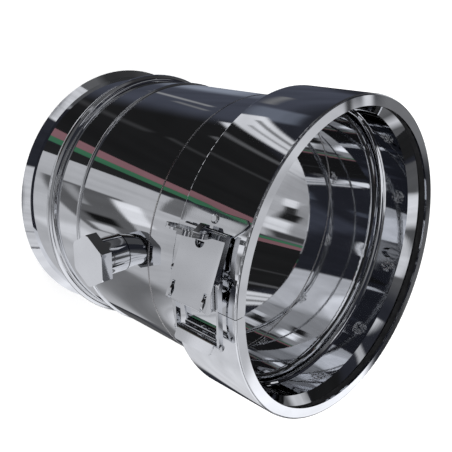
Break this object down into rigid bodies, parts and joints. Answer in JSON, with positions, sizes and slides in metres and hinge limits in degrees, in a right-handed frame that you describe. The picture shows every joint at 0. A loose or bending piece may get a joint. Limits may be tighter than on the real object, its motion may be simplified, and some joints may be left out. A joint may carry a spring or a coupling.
{
  "type": "flue pipe adapter",
  "caption": "Single-wall steel flue adapter with a beaded spigot, a clamped socket with a toggle latch, and a plugged test port.",
  "frame": {"origin": "centre of the spigot rim's end plane, on the pipe's axis", "axes": "+Z along the pipe's axis from the spigot rim to the clamped mouth, -Y through the latch's lever"},
  "size_m": [0.167, 0.1904, 0.182],
  "materials": {
    "polished_steel": "mirror polished stainless steel",
    "latch_steel": "bright stainless steel",
    "port_steel": "turned stainless steel",
    "weld_steel": "fine weld bead",
    "black_rubber": "matt"
  },
  "bodies": {
    "adapter": {"spigot_sleeve": "polished_steel", "socket_sleeve": "polished_steel", "stop_sleeve": "polished_steel", "locking_band": "polished_steel", "support_ring": "polished_steel", "seam_weld": "weld_steel", "stop_seal": "black_rubber", "mouth_seal": "black_rubber", "latch_base": "latch_steel", "base_rivets": "latch_steel", "catch": "latch_steel", "catch_rivets": "latch_steel", "port_boss": "port_steel"},
    "lever": {"lever": "latch_steel", "lever_pin": "latch_steel"},
    "bail": {"bail_link_back": "latch_steel", "bail_link_front": "latch_steel", "bail_pin": "latch_steel", "bail_bar": "latch_steel"},
    "ring": {"split_ring": "latch_steel"},
    "washer": {"plug_washer": "black_rubber"},
    "plug": {"port_plug": "port_steel"}
  },
  "joints": [
    {"name": "lever_hinge", "type": "hinge", "parent": "adapter", "child": "lever", "pos_m": [0.0205, -0.0861, 0.162], "axis": [0, 0, 1], "range_deg": [0, 90]},
    {"name": "bail_hinge", "type": "hinge", "parent": "lever", "child": "bail", "pos_m": [0.01141, -0.08735, 0.162], "axis": [0, 0, 1], "range_deg": [-65, 0]},
    {"name": "ring_swing", "type": "hinge", "parent": "lever", "child": "ring", "pos_m": [-0.00723, -0.08936, 0.162], "axis": [0, 0, 1], "range_deg": [-80, 80]},
    {"name": "plug_out", "type": "slide", "parent": "adapter", "child": "washer", "axis": [0.2689, -0.9632, 0], "range_m": [0, 0.0094]},
    {"name": "plug_turn", "type": "hinge", "parent": "washer", "child": "plug", "pos_m": [0.02364, -0.08466, 0.092], "axis": [0.2689, -0.9632, 0], "range_deg": [0, 2520]}
  ],
  "couplings": [
    {"joint": "bail_hinge", "follows": "lever_hinge", "ratio": -0.72},
    {"joint": "plug_out", "follows": "plug_turn", "m_per_rad": 0.0002128}
  ]
}
